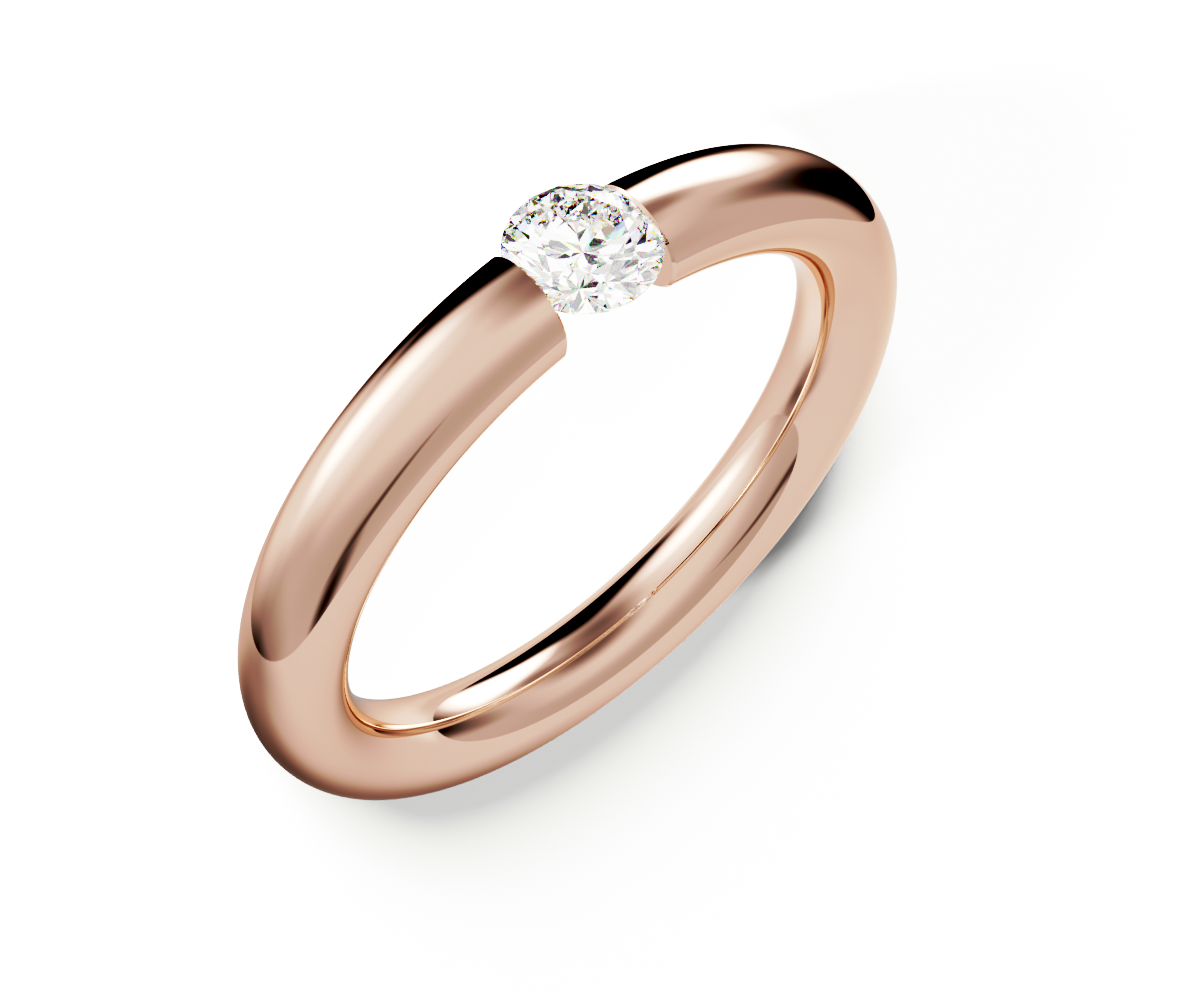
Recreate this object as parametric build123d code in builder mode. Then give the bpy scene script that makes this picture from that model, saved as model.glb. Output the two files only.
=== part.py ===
from build123d import *
from math import acos, atan, cos, degrees, radians, tan
import os

# Tension set ring lying on its side: the finger's axis is Z and the stone sits at -Y.
# The origin is the centre of the finger hole. Millimetres.

# Band: nearly round wire, slightly oval, blunted to a hairline face along its innermost line
bore_radius = 8.45           # finger hole, 16.9 mm across
section_radius = 9.88        # from the finger's axis to the middle of the wire
outer_depth = 1.32           # middle of the wire to its outer side
inner_depth = 1.44           # middle of the wire to where its inner side would round off
half_width = 1.5             # half the band's width along Z
crease_rounding = 0.4        # blends the hairline face into the wire's flanks

# Gap that holds the stone
gap_half = 1.66              # half the distance between the two band ends
end_chamfer = 0.07           # broken edge round each end face
cutter_size = 6.0            # block that opens the gap, wider than the wire all round

# Stone: round brilliant, measured as shares of its girdle radius
girdle_radius = 1.97         # stone 3.94 mm across
girdle_thickness = 0.1
seat_height = 10.63          # from the finger's axis to the girdle's mid-plane
table_share = 0.57
star_share = 0.5
lower_girdle_share = 0.77
crown_angle = 34.5
pavilion_angle = 40.75
facet_step = 45              # eight-fold symmetry

# Groove in the end faces
seat_clearance = 0.03        # between the stone's flanks and the groove's
mouth_margin = 0.2           # how far inside the gap the groove's cut starts

os.makedirs("parts", exist_ok=True)

# Angle on the inner ellipse at which the flank reaches the hairline face
crease_angle = degrees(acos((section_radius - bore_radius) / inner_depth))

# Directions between the eight main facets, as seen from the stone's axis
half_step = facet_step / 2
quarter_step = facet_step / 4
half_share = cos(radians(half_step))
quarter_share = cos(radians(quarter_step))
edge = girdle_thickness / 2
chord = girdle_radius * quarter_share

# Crown: the table's corners and, half-way out, the stars' corners where two kites meet
table_corner = table_share * girdle_radius
table_side = table_corner * half_share
crown_height = (girdle_radius - table_corner) * tan(radians(crown_angle))
star_reach = table_side + star_share * (girdle_radius - table_side)
star_height = (girdle_radius - star_reach * half_share) * tan(radians(crown_angle))
star_slope = degrees(atan((crown_height - star_height) / (star_reach - table_side)))
upper_slope = degrees(atan(star_height / (chord - star_reach * quarter_share)))

# Pavilion: the lower girdle facets end where two mains meet
pavilion_depth = girdle_radius * tan(radians(pavilion_angle))
lower_reach = (1 - lower_girdle_share) * girdle_radius
lower_depth = (girdle_radius - lower_reach * half_share) * tan(radians(pavilion_angle))
lower_slope = degrees(atan(lower_depth / (chord - lower_reach * quarter_share)))

# Groove: its flanks run beside the stone's widest profile and meet outside the girdle
crown_flank = star_height / (girdle_radius - star_reach)
pavilion_flank = lower_depth / (girdle_radius - lower_reach)
seat_half = edge + seat_clearance
groove_radius = girdle_radius + 2 * seat_half / (crown_flank + pavilion_flank)
groove_offset = seat_half - (groove_radius - girdle_radius) * crown_flank
mouth_radius = gap_half - mouth_margin
mouth_run = girdle_radius - mouth_radius


# Band: the section revolved round the finger, opened at -Y and grooved for the girdle
with BuildPart() as band:
    with BuildSketch(Plane.XZ) as section:
        with BuildLine():
            centre = (section_radius, 0)
            EllipticalCenterArc(centre, outer_depth, half_width, start_angle=-90, arc_size=180)
            upper = EllipticalCenterArc(
                centre, inner_depth, half_width, start_angle=90, arc_size=90 - crease_angle
            )
            lower = EllipticalCenterArc(
                centre, inner_depth, half_width, start_angle=180 + crease_angle, arc_size=90 - crease_angle
            )
            Line(upper @ 1, lower @ 0)
        make_face()
        creases = section.vertices().group_by(Axis.X)[0]
        fillet(creases, radius=crease_rounding)
    revolve(axis=Axis.Z)

    # The two ends stand parallel, one gap apart
    with Locations((0, -section_radius, 0)):
        Box(2 * gap_half, cutter_size, cutter_size, mode=Mode.SUBTRACT)
    end_faces = band.faces().filter_by(Plane.YZ)
    chamfer(end_faces.edges(), length=end_chamfer)

    # V groove round the stone's axis: both flanks clear the stone's widest profile
    with BuildSketch(Plane.XY):
        with BuildLine():
            Polyline(
                (groove_radius, -seat_height - groove_offset),
                (mouth_radius, -seat_height - seat_half - mouth_run * crown_flank),
                (mouth_radius, -seat_height + seat_half + mouth_run * pavilion_flank),
                close=True,
            )
        make_face()
    revolve(axis=Axis.Y, mode=Mode.SUBTRACT)

band.part.label = "band"
export_step(band.part, "parts/band.step")


# Stone: a cylinder cut down to the planes of its facets, table facing -Y
stone_plane = Plane(origin=(0, -seat_height, 0), x_dir=(1, 0, 0), z_dir=(0, -1, 0))


def facet(azimuth, reach, height, slope, up=1):
    """Plane of one facet: passes (reach, height) at its azimuth and leans in by slope degrees."""
    outward = Vector(1, 0, 0).rotate(Axis.Z, azimuth)
    foot = outward * reach + Vector(0, 0, height)
    normal = outward * tan(radians(slope)) + Vector(0, 0, up)
    return Plane(
        origin=stone_plane.from_local_coords(foot),
        z_dir=stone_plane.from_local_coords(normal) - stone_plane.origin,
    )


with BuildPart(stone_plane) as stone:
    Cylinder(girdle_radius, 2 * (pavilion_depth + girdle_thickness))
    split(bisect_by=facet(0, 0, edge + crown_height, 0), keep=Keep.BOTTOM)
    for turn in range(8):
        main = turn * facet_step
        between = main + half_step
        split(bisect_by=facet(main, girdle_radius, edge, crown_angle), keep=Keep.BOTTOM)
        split(bisect_by=facet(between, star_reach, edge + star_height, star_slope), keep=Keep.BOTTOM)
        split(bisect_by=facet(main, girdle_radius, -edge, pavilion_angle, up=-1), keep=Keep.BOTTOM)
        for azimuth in (between - quarter_step, between + quarter_step):
            split(bisect_by=facet(azimuth, chord, edge, upper_slope), keep=Keep.BOTTOM)
            split(bisect_by=facet(azimuth, chord, -edge, lower_slope, up=-1), keep=Keep.BOTTOM)

stone.part.label = "stone"
export_step(stone.part, "parts/stone.step")
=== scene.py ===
import bpy
from math import cos, pi, radians, sin
from mathutils import Matrix, Vector


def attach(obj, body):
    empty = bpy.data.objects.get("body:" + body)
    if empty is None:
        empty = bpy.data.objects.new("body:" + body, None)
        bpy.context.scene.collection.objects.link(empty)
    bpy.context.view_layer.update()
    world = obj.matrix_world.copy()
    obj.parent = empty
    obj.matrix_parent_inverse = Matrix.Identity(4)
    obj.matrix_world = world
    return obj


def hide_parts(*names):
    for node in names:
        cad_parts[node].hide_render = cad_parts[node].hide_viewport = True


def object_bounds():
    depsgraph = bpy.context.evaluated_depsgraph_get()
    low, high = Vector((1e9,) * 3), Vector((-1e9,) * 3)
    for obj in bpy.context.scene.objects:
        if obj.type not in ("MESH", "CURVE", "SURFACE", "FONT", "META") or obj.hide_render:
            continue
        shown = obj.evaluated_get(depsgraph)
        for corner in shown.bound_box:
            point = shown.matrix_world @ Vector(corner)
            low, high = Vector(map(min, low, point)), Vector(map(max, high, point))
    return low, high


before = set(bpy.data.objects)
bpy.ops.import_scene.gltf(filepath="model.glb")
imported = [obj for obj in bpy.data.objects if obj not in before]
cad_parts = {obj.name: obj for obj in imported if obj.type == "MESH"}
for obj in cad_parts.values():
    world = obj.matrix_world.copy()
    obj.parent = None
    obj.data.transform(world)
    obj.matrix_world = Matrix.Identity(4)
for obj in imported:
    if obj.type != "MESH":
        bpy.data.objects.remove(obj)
cad_low, cad_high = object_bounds()
bpy.ops.object.select_all(action="DESELECT")

# Camera: a short telephoto looking down on the stone's side of the ring, as it lies on the floor.
# It is turned about its own line of sight, so that the ring stands on end in the picture.
camera_place = Vector((0.02391, -0.05816, 0.02892))
camera_azimuth = radians(22.43)
camera_elevation = radians(24.24)
camera_turn = radians(135.19)
camera_sensor = 36
camera_lens = 75.32
camera_clip = (0.002, 10)

back = Vector((
    sin(camera_azimuth) * cos(camera_elevation),
    -cos(camera_azimuth) * cos(camera_elevation),
    sin(camera_elevation),
))
level = Vector((cos(camera_azimuth), sin(camera_azimuth), 0))
camera_right = cos(camera_turn) * level + sin(camera_turn) * back.cross(level)
camera_facing = Matrix((camera_right, back.cross(camera_right), back)).transposed()
bpy.ops.object.camera_add(location=camera_place, rotation=camera_facing.to_euler())
camera = bpy.context.object
camera.data.sensor_width = camera_sensor
camera.data.lens = camera_lens
camera.data.clip_start, camera.data.clip_end = camera_clip
bpy.context.scene.camera = camera

# Floor: a wide sheet of matt acrylic that the ring lies on, with a faint glow of its own; inside the ring it
# glows bright, a painted pool of light that washes out the ring's shadow there.
# The polished metal and the stone see the studio round them, not the sheet.
floor_radius = 2.0
floor_sides = 96
floor_tones = ((0.45, 0.45, 0.447), (0.44, 0.44, 0.44))
floor_cloud = 3
floor_roughness = 0.9
floor_glow = 0.03
painted_hole_light = 0.95
painted_hole_light_radius = (0.0097, 0.0114)

bpy.ops.mesh.primitive_circle_add(
    vertices=floor_sides, radius=floor_radius, fill_type="NGON", location=(0, 0, cad_low.z)
)
floor = bpy.context.object
floor.name = "floor"
bpy.ops.object.transform_apply(location=True)
floor.visible_glossy = False
floor.visible_transmission = False
floor.visible_shadow = False
sheet = bpy.data.materials.new("white_acrylic")
sheet.use_nodes = True
nodes, links = sheet.node_tree.nodes, sheet.node_tree.links
acrylic = nodes["Principled BSDF"]
place = nodes.new("ShaderNodeTexCoord")
cloud = nodes.new("ShaderNodeTexNoise")
cloud.inputs["Scale"].default_value = floor_cloud
tone = nodes.new("ShaderNodeMix")
tone.data_type = "RGBA"
tone.inputs["A"].default_value = (*floor_tones[0], 1)
tone.inputs["B"].default_value = (*floor_tones[1], 1)
links.new(place.outputs["Object"], cloud.inputs["Vector"])
links.new(cloud.outputs["Fac"], tone.inputs["Factor"])
links.new(tone.outputs["Result"], acrylic.inputs["Base Color"])
acrylic.inputs["Roughness"].default_value = floor_roughness
acrylic.inputs["Emission Color"].default_value = (1, 1, 1, 1)
apart = nodes.new("ShaderNodeVectorMath")
apart.operation = "MULTIPLY"
apart.inputs[1].default_value = (1, 1, 0)
links.new(place.outputs["Object"], apart.inputs[0])
reach = nodes.new("ShaderNodeVectorMath")
reach.operation = "LENGTH"
links.new(apart.outputs["Vector"], reach.inputs[0])
# Painted light: the floor glows bright inside the ring, fading out under the band, so no shadow of the ring
# falls there.
painted_pool = nodes.new("ShaderNodeMapRange")
painted_pool.interpolation_type = "SMOOTHSTEP"
painted_pool.inputs["From Min"].default_value, painted_pool.inputs["From Max"].default_value = painted_hole_light_radius
painted_pool.inputs["To Min"].default_value = painted_hole_light
painted_pool.inputs["To Max"].default_value = floor_glow
links.new(reach.outputs["Value"], painted_pool.inputs["Value"])
links.new(painted_pool.outputs["Result"], acrylic.inputs["Emission Strength"])
floor.data.materials.append(sheet)

# Studio: soft boxes, black flags and pale walls all round the ring, far away beside its size.
# Each card is seen from the ring as an oval or a rectangle, laid over those before it, with a soft rim.
edge_on = 0.02               # share of a card's direction below which it is seen from the side

card_group = bpy.data.node_groups.new("studio_card", "ShaderNodeTree")
for name, kind in (
    ("Behind", "NodeSocketFloat"),
    ("Light", "NodeSocketFloat"),
    ("Direction", "NodeSocketVector"),
    ("Centre", "NodeSocketVector"),
    ("Across", "NodeSocketVector"),
    ("Width", "NodeSocketFloat"),
    ("Height", "NodeSocketFloat"),
    ("Softness", "NodeSocketFloat"),
    ("Squareness", "NodeSocketFloat"),
):
    card_group.interface.new_socket(name, in_out="INPUT", socket_type=kind)
card_group.interface.new_socket("Light", in_out="OUTPUT", socket_type="NodeSocketFloat")
nodes, links = card_group.nodes, card_group.links
given = nodes.new("NodeGroupInput")
result = nodes.new("NodeGroupOutput")
rise = nodes.new("ShaderNodeVectorMath")
rise.operation = "CROSS_PRODUCT"
links.new(given.outputs["Centre"], rise.inputs[0])
links.new(given.outputs["Across"], rise.inputs[1])
depth = nodes.new("ShaderNodeVectorMath")
depth.operation = "DOT_PRODUCT"
links.new(given.outputs["Direction"], depth.inputs[0])
links.new(given.outputs["Centre"], depth.inputs[1])
facing = nodes.new("ShaderNodeMath")
facing.operation = "GREATER_THAN"
facing.inputs[1].default_value = edge_on
links.new(depth.outputs["Value"], facing.inputs[0])
total = nodes.new("ShaderNodeMath")
total.operation = "ADD"
for slot, (side, half) in enumerate(((given.outputs["Across"], "Width"), (rise.outputs["Vector"], "Height"))):
    along = nodes.new("ShaderNodeVectorMath")
    along.operation = "DOT_PRODUCT"
    links.new(given.outputs["Direction"], along.inputs[0])
    links.new(side, along.inputs[1])
    slope = nodes.new("ShaderNodeMath")
    slope.operation = "DIVIDE"
    links.new(along.outputs["Value"], slope.inputs[0])
    links.new(depth.outputs["Value"], slope.inputs[1])
    share = nodes.new("ShaderNodeMath")
    share.operation = "DIVIDE"
    links.new(slope.outputs["Value"], share.inputs[0])
    links.new(given.outputs[half], share.inputs[1])
    size = nodes.new("ShaderNodeMath")
    size.operation = "ABSOLUTE"
    links.new(share.outputs["Value"], size.inputs[0])
    raised = nodes.new("ShaderNodeMath")
    raised.operation = "POWER"
    links.new(size.outputs["Value"], raised.inputs[0])
    links.new(given.outputs["Squareness"], raised.inputs[1])
    links.new(raised.outputs["Value"], total.inputs[slot])
root = nodes.new("ShaderNodeMath")
root.operation = "DIVIDE"
root.inputs[0].default_value = 1
links.new(given.outputs["Squareness"], root.inputs[1])
distance = nodes.new("ShaderNodeMath")
distance.operation = "POWER"
links.new(total.outputs["Value"], distance.inputs[0])
links.new(root.outputs["Value"], distance.inputs[1])
inner = nodes.new("ShaderNodeMath")
inner.operation = "SUBTRACT"
outer = nodes.new("ShaderNodeMath")
outer.operation = "ADD"
fade = nodes.new("ShaderNodeMapRange")
fade.interpolation_type = "SMOOTHSTEP"
fade.inputs["To Min"].default_value = 1
fade.inputs["To Max"].default_value = 0
for rim, end in ((inner, "From Min"), (outer, "From Max")):
    rim.inputs[0].default_value = 1
    links.new(given.outputs["Softness"], rim.inputs[1])
    links.new(rim.outputs["Value"], fade.inputs[end])
links.new(distance.outputs["Value"], fade.inputs["Value"])
cover = nodes.new("ShaderNodeMath")
cover.operation = "MULTIPLY"
links.new(facing.outputs["Value"], cover.inputs[0])
links.new(fade.outputs["Result"], cover.inputs[1])
over = nodes.new("ShaderNodeMix")
over.data_type = "FLOAT"
links.new(cover.outputs["Value"], over.inputs["Factor"])
links.new(given.outputs["Behind"], over.inputs["A"])
links.new(given.outputs["Light"], over.inputs["B"])
links.new(over.outputs["Result"], result.inputs["Light"])

# name, azimuth, elevation, turn, half width, half height, softness, light, squareness
studio_cards = (
    ("sky", 14, 15, 150, 1.8, 1.15, 0.95, 0.66, 3.5),
    ("lower_wall", 74, 70, 108, 1.5, 0.47, 0.9, 0.46, 4),
    ("left_halo", 53, -44, 51, 0.53, 0.57, 0.95, 0.9, 1.5),
    ("left_core", 58, -52, 88, 0.19, 0.35, 1.1, 1.85, 2),
    ("right_halo", -70, -28, -80, 0.67, 0.7, 0.85, 0.6, 2.5),
    ("right_core", -70, -37, -86, 0.38, 0.36, 0.65, 2.95, 1.5),
    ("flag_right", -97, 5, -65, 0.19, 0.47, 0.8, 0.22, 3),
    ("flag_right_low", -126, -9, -72, 0.29, 0.73, 0.6, 0.01, 3.5),
    ("flag_back", -79, -76, -75, 0.39, 0.71, 0.4, 0.01, 1.5),
    ("brown_high", -18, 3, -99, 0.36, 0.38, 0.75, 0.27, 2),
    ("brown_left", -12, -25, -21, 0.24, 0.34, 0.9, 0.28, 2),
    ("streak_a", 82, 55, 58, 0.06, 0.29, 0.85, 0.2, 1.5),
    ("streak_b", 125, 46, 71, 0.12, 0.39, 0.85, 0.11, 2),
    ("wall_front_low", 174, 42, 35, 1.15, 0.37, 0.8, 0.51, 2.5),
    ("wall_back_left", 118, -57, 124, 0.5, 0.27, 0.65, 0.73, 5.5),
    ("flag_left_low", 135, -16, 134, 0.43, 0.49, 1, 0.28, 1.5),
    ("flag_far_back", -112, -61, -119, 0.37, 0.65, 0.4, 0.04, 4),
    ("dark_top_right", -42, -8, -84, 0.17, 0.2, 0.65, 0.34, 2),
    ("flag_left_edge", 135, -20, 109, 0.31, 0.18, 0.6, 0.08, 1.5),
)
room_light = 0.5

# What light sees once it has gone through the stone: where each tone begins on the noise, and the tone.
sparkle_tones = (
    (0.0, 0.02),
    (0.36, 0.2),
    (0.41, 0.42),
    (0.455, 0.7),
    (0.49, 1.3),
    (0.59, 0.9),
    (0.62, 0.5),
    (0.66, 1.2),
)
sparkle_size = 2.6
sparkle_detail = 1
sparkle_seed = 0
backdrop_white = 1.5
light_bounces = 32
mirror_bounces = 24
light_map = 1024

world = bpy.data.worlds.new("studio")
bpy.context.scene.world = world
world.use_nodes = True
nodes, links = world.node_tree.nodes, world.node_tree.links
place = nodes.new("ShaderNodeTexCoord")
room = nodes.new("ShaderNodeValue")
room.outputs["Value"].default_value = room_light
light = room.outputs["Value"]
for name, azimuth, elevation, turn, width, height, softness, strength, squareness in studio_cards:
    azimuth, elevation, turn = radians(azimuth), radians(elevation), radians(turn)
    centre = Vector((sin(azimuth) * cos(elevation), -cos(azimuth) * cos(elevation), sin(elevation)))
    level = Vector((cos(azimuth), sin(azimuth), 0))
    card = nodes.new("ShaderNodeGroup")
    card.node_tree = card_group
    card.label = name
    card.inputs["Centre"].default_value = centre
    card.inputs["Across"].default_value = cos(turn) * level + sin(turn) * centre.cross(level)
    card.inputs["Width"].default_value = width
    card.inputs["Height"].default_value = height
    card.inputs["Softness"].default_value = softness
    card.inputs["Light"].default_value = strength
    card.inputs["Squareness"].default_value = squareness
    links.new(place.outputs["Generated"], card.inputs["Direction"])
    links.new(light, card.inputs["Behind"])
    light = card.outputs["Light"]
sparkle = nodes.new("ShaderNodeTexNoise")
sparkle.noise_dimensions = "4D"
sparkle.inputs["W"].default_value = sparkle_seed
sparkle.inputs["Scale"].default_value = sparkle_size
sparkle.inputs["Detail"].default_value = sparkle_detail
tones = nodes.new("ShaderNodeValToRGB")
tones.color_ramp.interpolation = "CONSTANT"
for step, (start, tone) in enumerate(sparkle_tones):
    mark = tones.color_ramp.elements[0] if step == 0 else tones.color_ramp.elements.new(start)
    mark.position = start
    mark.color = (tone, tone, tone, 1)
tones.color_ramp.elements.remove(tones.color_ramp.elements[-1])
links.new(place.outputs["Generated"], sparkle.inputs["Vector"])
links.new(sparkle.outputs["Fac"], tones.inputs["Fac"])
seen = nodes.new("ShaderNodeLightPath")
through = nodes.new("ShaderNodeMix")
through.data_type = "RGBA"
links.new(seen.outputs["Is Transmission Ray"], through.inputs["Factor"])
links.new(light, through.inputs["A"])
links.new(tones.outputs["Color"], through.inputs["B"])
studio = nodes["Background"]
links.new(through.outputs["Result"], studio.inputs["Color"])
backdrop = nodes.new("ShaderNodeBackground")
backdrop.inputs["Color"].default_value = (1, 1, 1, 1)
backdrop.inputs["Strength"].default_value = backdrop_white
choice = nodes.new("ShaderNodeMixShader")
links.new(seen.outputs["Is Camera Ray"], choice.inputs["Fac"])
links.new(studio.outputs["Background"], choice.inputs[1])
links.new(backdrop.outputs["Background"], choice.inputs[2])
links.new(choice.outputs["Shader"], nodes["World Output"].inputs["Surface"])
bpy.context.scene.cycles.max_bounces = light_bounces
bpy.context.scene.cycles.glossy_bounces = mirror_bounces
bpy.context.scene.cycles.transmission_bounces = mirror_bounces
world.cycles.sampling_method = "MANUAL"
world.cycles.sample_map_resolution = light_map

# Reflector: a round card that glows by itself, standing behind the ring on the side away from the stone.
# Only the metal and the stone see it. Its light and dark patches are painted pools of light and painted
# shade; they slide along the inside of the band.
reflector_place = 0.01125
reflector_radius = 0.034
reflector_height = 0.008
reflector_sides = 96
reflector_light = 0.63
per_metre = 1000             # the patches are given in millimetres
# middle in x and in z, turn, half width, half height, softness, light, squareness
reflector_light_and_shade_patches = (
    (13, -3.5, -24, 10, 4.5, 0.7, 0.17, 2),
    (-17, -1, -9, 8.5, 6, 0.95, 0.87, 1.5),
    (7.5, -1, 32, 3, 3, 1.05, 0.36, 2),
    (-7.5, -3.5, -9, 7.5, 4, 0.65, 0.84, 3),
    (24.5, -6, -18, 12.5, 7.5, 1.1, 0.36, 1.5),
    (-29.5, -7, 0, 7.5, 6, 0.95, 0.7, 2),
)

bpy.ops.mesh.primitive_circle_add(
    vertices=reflector_sides,
    radius=reflector_radius,
    fill_type="NGON",
    location=(0, reflector_place, reflector_height),
    rotation=(pi / 2, 0, 0),
)
reflector = bpy.context.object
reflector.name = "reflector"
bpy.ops.object.transform_apply(location=True, rotation=True)
reflector.visible_camera = False
reflector.visible_diffuse = False
reflector.visible_shadow = False
glowing_reflector_card = bpy.data.materials.new("reflector_card")
glowing_reflector_card.use_nodes = True
nodes, links = glowing_reflector_card.node_tree.nodes, glowing_reflector_card.node_tree.links
nodes.remove(nodes["Principled BSDF"])
place = nodes.new("ShaderNodeTexCoord")
base = nodes.new("ShaderNodeValue")
base.outputs["Value"].default_value = reflector_light
light = base.outputs["Value"]
# Painted light and painted shade: each patch brightens or darkens the card's own glow.
for x, z, turn, width, height, softness, strength, squareness in reflector_light_and_shade_patches:
    spread = nodes.new("ShaderNodeMapping")
    spread.inputs["Scale"].default_value = (per_metre, per_metre, per_metre)
    spread.inputs["Location"].default_value = (-x, 1 - per_metre * reflector_place, -z)
    patch = nodes.new("ShaderNodeGroup")
    patch.node_tree = card_group
    patch.inputs["Centre"].default_value = (0, 1, 0)
    patch.inputs["Across"].default_value = (cos(radians(turn)), 0, sin(radians(turn)))
    patch.inputs["Width"].default_value = width
    patch.inputs["Height"].default_value = height
    patch.inputs["Softness"].default_value = softness
    patch.inputs["Light"].default_value = strength
    patch.inputs["Squareness"].default_value = squareness
    links.new(place.outputs["Object"], spread.inputs["Vector"])
    links.new(spread.outputs["Vector"], patch.inputs["Direction"])
    links.new(light, patch.inputs["Behind"])
    light = patch.outputs["Light"]
glow = nodes.new("ShaderNodeEmission")
links.new(light, glow.inputs["Color"])
links.new(glow.outputs["Emission"], nodes["Material Output"].inputs["Surface"])
reflector.data.materials.append(glowing_reflector_card)

# Lamps: two low ones on the camera's side throw the soft shadow behind the ring.
# Neither the metal nor the stone shows them.
# azimuth, elevation and apparent width, then strength
lamps = ((13, 9.5, 16, 35.5), (61, 11.5, 6, 7.7))

for azimuth, elevation, width, strength in lamps:
    bpy.ops.object.light_add(type="SUN", rotation=(radians(90 - elevation), 0, radians(azimuth)))
    lamp = bpy.context.object
    lamp.data.angle = radians(width)
    lamp.data.energy = strength
    lamp.visible_glossy = False
    lamp.visible_transmission = False

# Exposure: a contrasty curve, with a deep black and a long white shoulder.
warm_highlights = ((0.5, 0.5), (0.745, 0.69), (0.93, 0.89), (0.99, 0.99))
film_curve = ((0.085, 0), (0.19, 0.064), (0.33, 0.345), (0.58, 0.754), (1.0, 0.956), (1.35, 1.0))
brightest = 2

view = bpy.context.scene.view_settings
view.view_transform = "Standard"
view.use_curve_mapping = True
view.curve_mapping.clip_max_x = brightest
curve = view.curve_mapping.curves[3]
curve.points[0].location = film_curve[0]
curve.points[1].location = film_curve[-1]
for spot in film_curve[1:-1]:
    curve.points.new(*spot)
for spot in warm_highlights:
    mark = view.curve_mapping.curves[2].points.new(*spot)
    mark.handle_type = "VECTOR"
view.curve_mapping.update()

# Band: rose gold wire, nearly round, bent into a ring and left open where it grips the stone.
# It is polished bright all round, so its inside mirrors itself, and a V groove crosses the two ends.
wire_middle = 0.00988
wire_half_width = 0.0015
wire_outer_share = 0.88
wire_inner_share = 0.96
gap_half = 0.00166
end_chamfer = 0.00007
wire_sides = 96
turn_steps = 384
groove_place = -0.010631     # along Y: where the two flanks of the groove meet
groove_radius = 0.002062
groove_mouth = 0.00146
crown_reach = 0.000515
pavilion_reach = 0.000531
groove_sides = 160
sharp_edge = radians(10)     # edges that bend more than this stay sharp
tiny = 1e-7                  # distance within which two places count as one
rose_gold = (0.88, 0.67, 0.59)
worn_gold = (0.895, 0.69, 0.605)
painted_reflection_gold = (0.96, 0.88, 0.80)
edge_tint = (0.85, 0.75, 0.7)
wear_size = 350
polish = (0.03, 0.055)
hairline_size = (14, 9000, 9000)

bpy.ops.mesh.primitive_circle_add(
    vertices=wire_sides, radius=wire_half_width, location=(wire_middle, 0, 0), rotation=(pi / 2, 0, 0)
)
band = bpy.context.object
band.name = "ring_band"
bpy.ops.object.transform_apply(location=True, rotation=True)


def choose(piece, kind, wanted):
    """Selects the vertices, edges or faces of a piece whose middle is wanted, and nothing else."""
    bpy.ops.object.mode_set(mode="OBJECT")
    mesh = piece.data
    for group in (mesh.vertices, mesh.edges, mesh.polygons):
        group.foreach_set("select", [False] * len(group))
    for item in getattr(mesh, kind):
        if kind == "vertices":
            middle = item.co
        elif kind == "edges":
            middle = (mesh.vertices[item.vertices[0]].co + mesh.vertices[item.vertices[1]].co) / 2
        else:
            middle = item.center
        item.select = wanted(middle)
    kinds = ("vertices", "edges", "polygons")
    bpy.context.tool_settings.mesh_select_mode = [kind == name for name in kinds]
    bpy.ops.object.mode_set(mode="EDIT")


choose(band, "vertices", lambda p: p.x > wire_middle + tiny)
bpy.ops.transform.resize(value=(wire_outer_share, 1, 1), center_override=(wire_middle, 0, 0))
choose(band, "vertices", lambda p: p.x < wire_middle - tiny)
bpy.ops.transform.resize(value=(wire_inner_share, 1, 1), center_override=(wire_middle, 0, 0))
bpy.ops.mesh.select_all(action="SELECT")
bpy.ops.mesh.spin(steps=turn_steps, angle=2 * pi, center=(0, 0, 0), axis=(0, 0, 1))
bpy.ops.mesh.select_all(action="SELECT")
bpy.ops.mesh.remove_doubles(threshold=tiny)
bpy.ops.mesh.normals_make_consistent(inside=False)

# The two ends: cut parallel and closed, each with a broken rim that stands out to the gap's width.
for side in (1, -1):
    cut = side * (gap_half + end_chamfer)
    choose(band, "polygons", lambda p: p.y < 0 and 0 < side * p.x < 2.5 * gap_half)
    bpy.ops.mesh.bisect(plane_co=(cut, 0, 0), plane_no=(side, 0, 0), clear_inner=True, threshold=tiny / 10)
    choose(band, "edges", lambda p: p.y < 0 and abs(p.x - cut) < tiny)
    bpy.ops.mesh.edge_face_add()
    bpy.ops.mesh.inset(thickness=end_chamfer, depth=end_chamfer)
bpy.ops.object.mode_set(mode="OBJECT")

# The groove: a double cone on the stone's own axis, taken out of both end faces.
bpy.ops.mesh.primitive_cone_add(
    vertices=groove_sides,
    radius1=groove_radius,
    radius2=groove_mouth,
    depth=crown_reach,
    location=(0, groove_place - crown_reach / 2, 0),
    rotation=(pi / 2, 0, 0),
)
cutter = bpy.context.object
bpy.ops.object.transform_apply(location=True, rotation=True)
choose(cutter, "polygons", lambda p: abs(p.y - groove_place) < tiny)
bpy.ops.mesh.extrude_region_move(TRANSFORM_OT_translate={"value": (0, pavilion_reach, 0)})
bpy.ops.transform.resize(
    value=(groove_mouth / groove_radius, 1, groove_mouth / groove_radius),
    center_override=(0, groove_place + pavilion_reach, 0),
)
bpy.ops.mesh.select_all(action="SELECT")
bpy.ops.mesh.normals_make_consistent(inside=False)
bpy.ops.object.mode_set(mode="OBJECT")
bpy.ops.object.select_all(action="DESELECT")
bpy.context.view_layer.objects.active = band
band.select_set(True)
groove = band.modifiers.new("groove", "BOOLEAN")
groove.operation = "DIFFERENCE"
groove.solver = "EXACT"
groove.object = cutter
bpy.ops.object.modifier_apply(modifier="groove")
bpy.data.objects.remove(cutter)
bpy.ops.object.shade_smooth_by_angle(angle=sharp_edge)

gold = bpy.data.materials.new("polished_rose_gold")
gold.use_nodes = True
nodes, links = gold.node_tree.nodes, gold.node_tree.links
metal = nodes["Principled BSDF"]
metal.inputs["Metallic"].default_value = 1
metal.inputs["Specular Tint"].default_value = (*edge_tint, 1)
place = nodes.new("ShaderNodeTexCoord")
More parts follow.
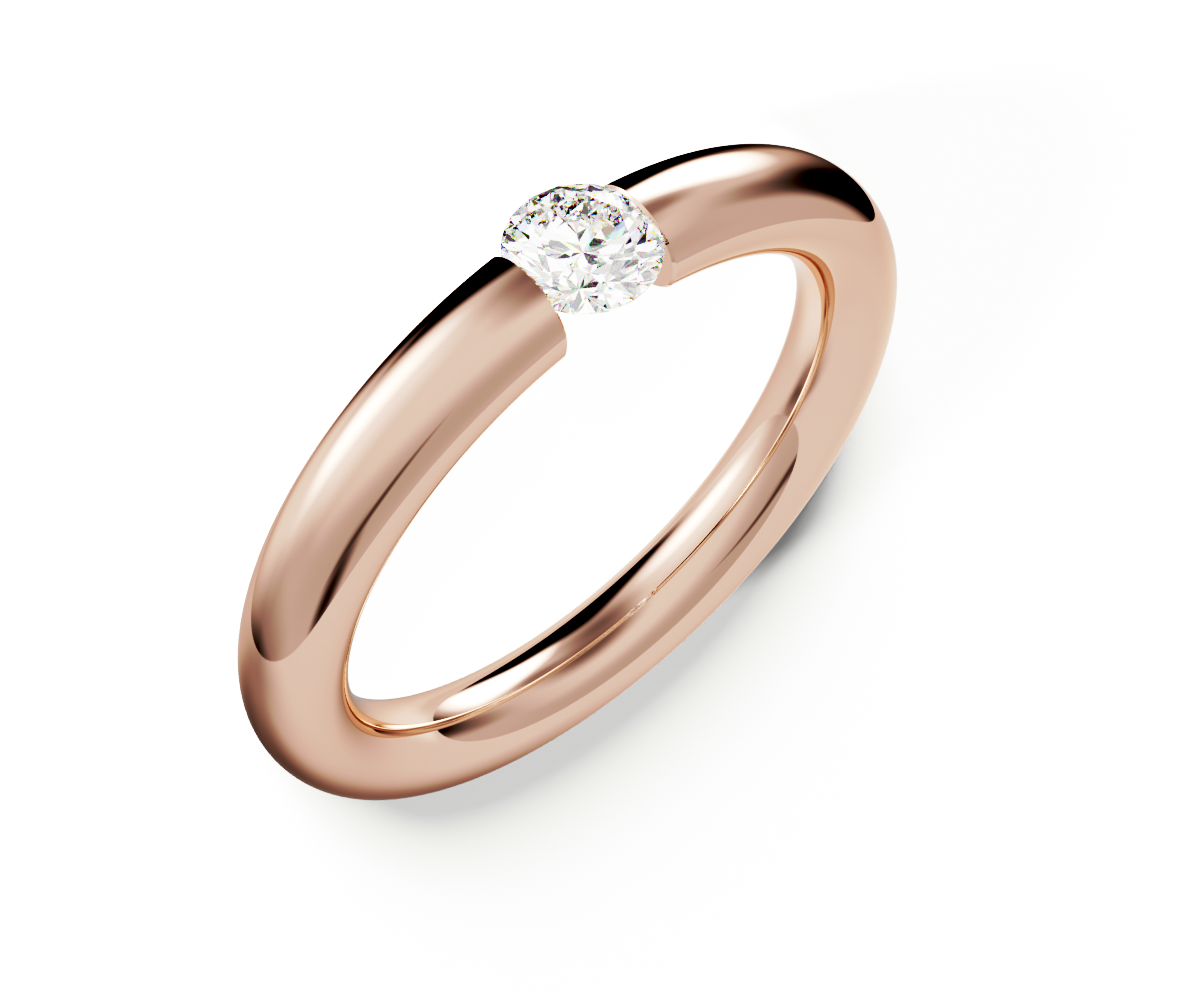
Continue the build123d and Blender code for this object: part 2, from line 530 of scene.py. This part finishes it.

# Colour: cloudy traces of wear on the polish, and a painted paler reflection wherever the metal is seen
# mirrored in itself.
cloud = nodes.new("ShaderNodeTexNoise")
cloud.inputs["Scale"].default_value = wear_size
cloud.inputs["Detail"].default_value = 3
links.new(place.outputs["Object"], cloud.inputs["Vector"])
wear = nodes.new("ShaderNodeMix")
wear.data_type = "RGBA"
wear.inputs["A"].default_value = (*rose_gold, 1)
wear.inputs["B"].default_value = (*worn_gold, 1)
links.new(cloud.outputs["Fac"], wear.inputs["Factor"])
# Painted reflection: in the band's mirror image of itself, the metal is given a paler colour than it has.
path = nodes.new("ShaderNodeLightPath")
tint = nodes.new("ShaderNodeMix")
tint.data_type = "RGBA"
tint.inputs["B"].default_value = (*painted_reflection_gold, 1)
links.new(wear.outputs["Result"], tint.inputs["A"])
links.new(path.outputs["Is Glossy Ray"], tint.inputs["Factor"])
links.new(tint.outputs["Result"], metal.inputs["Base Color"])

# Polish: hairlines that run round the finger, as fine noise drawn out along the wire.
flat = nodes.new("ShaderNodeVectorMath")
flat.operation = "MULTIPLY"
flat.inputs[1].default_value = (1, 1, 0)
links.new(place.outputs["Object"], flat.inputs[0])
reach = nodes.new("ShaderNodeVectorMath")
reach.operation = "LENGTH"
links.new(flat.outputs["Vector"], reach.inputs[0])
course = nodes.new("ShaderNodeTexGradient")
course.gradient_type = "RADIAL"
links.new(place.outputs["Object"], course.inputs["Vector"])
parts = nodes.new("ShaderNodeSeparateXYZ")
links.new(place.outputs["Object"], parts.inputs["Vector"])
drawn = nodes.new("ShaderNodeCombineXYZ")
links.new(course.outputs["Fac"], drawn.inputs["X"])
links.new(reach.outputs["Value"], drawn.inputs["Y"])
links.new(parts.outputs["Z"], drawn.inputs["Z"])
fine = nodes.new("ShaderNodeMapping")
fine.inputs["Scale"].default_value = hairline_size
links.new(drawn.outputs["Vector"], fine.inputs["Vector"])
hairlines = nodes.new("ShaderNodeTexNoise")
hairlines.inputs["Scale"].default_value = 1
hairlines.inputs["Detail"].default_value = 2
links.new(fine.outputs["Vector"], hairlines.inputs["Vector"])
buffed = nodes.new("ShaderNodeMapRange")
buffed.inputs["From Min"].default_value = 0.3
buffed.inputs["From Max"].default_value = 0.7
buffed.inputs["To Min"].default_value, buffed.inputs["To Max"].default_value = polish
links.new(hairlines.outputs["Fac"], buffed.inputs["Value"])
links.new(buffed.outputs["Result"], metal.inputs["Roughness"])
band.data.materials.append(gold)
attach(band, "root")
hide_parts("band")

# Stone: a round brilliant diamond, cut with fifty-seven flat facets and polished clear.
# Its girdle sits in the groove across the two ends, and the spring of the band holds it.
diamond_index = 2.417
fire_index = (2.41, 2.417, 2.428)
clear_tint = (0.985, 0.99, 1)
faint_tint = (1, 0.995, 0.985)
tint_size = 500

diamond = bpy.data.materials.new("clear_diamond")
diamond.use_nodes = True
nodes, links = diamond.node_tree.nodes, diamond.node_tree.links
crystal = nodes["Principled BSDF"]
crystal.inputs["Transmission Weight"].default_value = 1
crystal.inputs["IOR"].default_value = diamond_index
crystal.inputs["Roughness"].default_value = 0

# Colour: clear, with a faint warm cloud in it.
place = nodes.new("ShaderNodeTexCoord")
cloud = nodes.new("ShaderNodeTexNoise")
cloud.inputs["Scale"].default_value = tint_size
cloud.inputs["Detail"].default_value = 2
links.new(place.outputs["Object"], cloud.inputs["Vector"])
water = nodes.new("ShaderNodeMix")
water.data_type = "RGBA"
water.inputs["A"].default_value = (*clear_tint, 1)
water.inputs["B"].default_value = (*faint_tint, 1)
links.new(cloud.outputs["Fac"], water.inputs["Factor"])
links.new(water.outputs["Result"], crystal.inputs["Base Color"])

# Fire: red, green and blue light bend by slightly different amounts.
rays = []
for channel, index in enumerate(fire_index):
    part = nodes.new("ShaderNodeMix")
    part.data_type = "RGBA"
    part.blend_type = "MULTIPLY"
    part.inputs["Factor"].default_value = 1
    part.inputs["B"].default_value = [1 if k == channel else 0 for k in range(3)] + [1]
    links.new(water.outputs["Result"], part.inputs["A"])
    ray = nodes.new("ShaderNodeBsdfGlass")
    ray.inputs["IOR"].default_value = index
    ray.inputs["Roughness"].default_value = 0
    links.new(part.outputs["Result"], ray.inputs["Color"])
    rays.append(ray)
pair = nodes.new("ShaderNodeAddShader")
fire = nodes.new("ShaderNodeAddShader")
links.new(rays[0].outputs["BSDF"], pair.inputs[0])
links.new(rays[1].outputs["BSDF"], pair.inputs[1])
links.new(pair.outputs["Shader"], fire.inputs[0])
links.new(rays[2].outputs["BSDF"], fire.inputs[1])
path = nodes.new("ShaderNodeLightPath")
first = nodes.new("ShaderNodeMixShader")
links.new(path.outputs["Is Camera Ray"], first.inputs["Fac"])
links.new(crystal.outputs["BSDF"], first.inputs[1])
links.new(fire.outputs["Shader"], first.inputs[2])
links.new(first.outputs["Shader"], nodes["Material Output"].inputs["Surface"])
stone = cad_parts["stone"]
stone.material_slots[0].material = diamond
